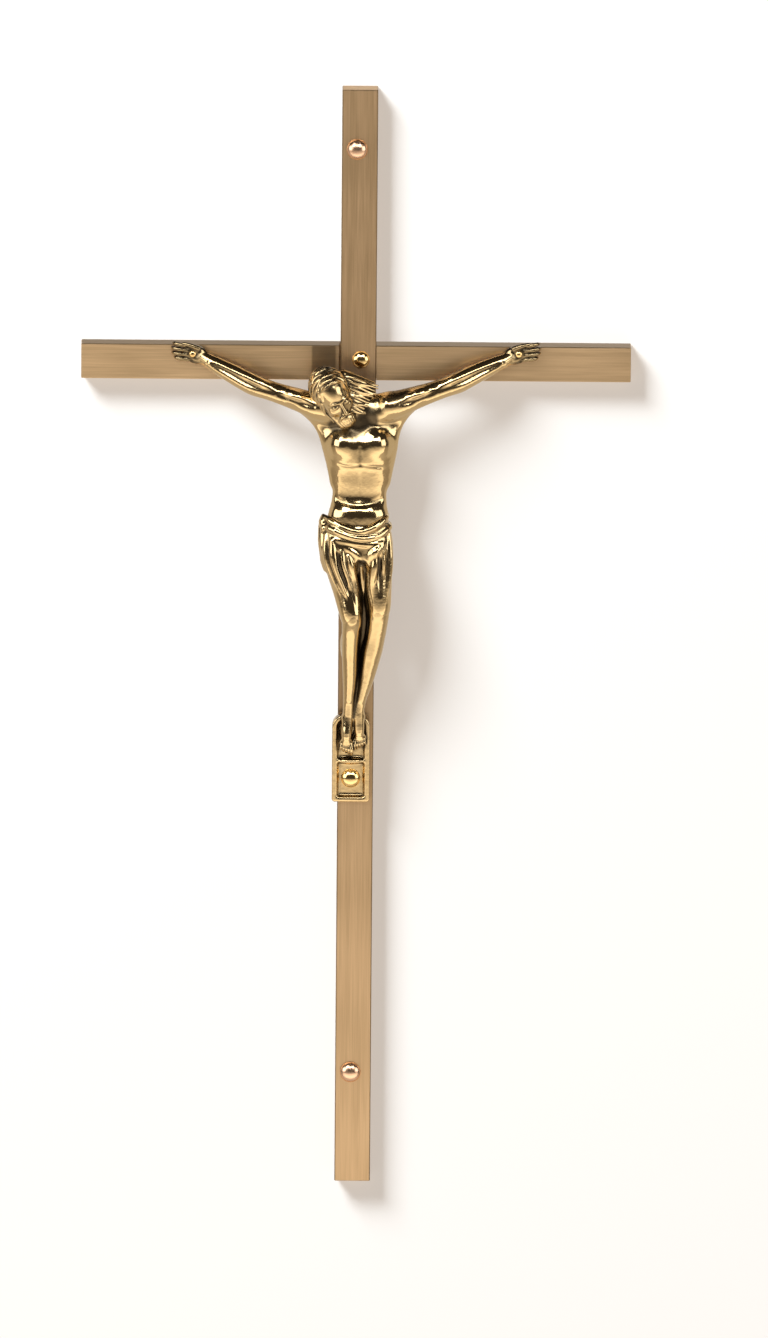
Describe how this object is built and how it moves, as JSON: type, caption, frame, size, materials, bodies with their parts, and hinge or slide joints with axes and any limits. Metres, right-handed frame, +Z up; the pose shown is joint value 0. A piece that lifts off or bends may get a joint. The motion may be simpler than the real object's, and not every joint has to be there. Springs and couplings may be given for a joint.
{
  "type": "crucifix",
  "caption": "Wall crucifix of flat brushed brass bars half-lapped at the crossing, with a polished cast figure pinned on and dome-head nails that fix it to a wall.",
  "frame": {"origin": "where the axes of the two bars cross, on the back plane that lies on the wall", "axes": "+Z up the upright bar, +X along the cross bar, +Y into the wall, the front faces -Y"},
  "size_m": [0.146, 0.0352, 0.3],
  "materials": {
    "brushed_bar": "satin, brushed along each bar",
    "polished_casting": "polished gold-toned casting, darker in its hollows",
    "polished_pin": "polished dome heads",
    "copper_nail": "polished copper-toned dome heads"
  },
  "bodies": {
    "cross": {"upright_bar": "brushed_bar", "cross_bar": "brushed_bar", "corpus": "polished_casting", "lap_pin": "polished_pin", "foot_pin": "polished_pin", "left_hand_pin": "polished_pin", "right_hand_pin": "polished_pin"},
    "top_nail": {"top_fixing_nail": "copper_nail"},
    "bottom_nail": {"bottom_fixing_nail": "copper_nail"}
  },
  "joints": [
    {"name": "top_nail_draw", "type": "slide", "parent": "cross", "child": "top_nail", "axis": [0, -1, 0], "range_m": [0, 0.024]},
    {"name": "bottom_nail_draw", "type": "slide", "parent": "cross", "child": "bottom_nail", "axis": [0, -1, 0], "range_m": [0, 0.024]}
  ]
}
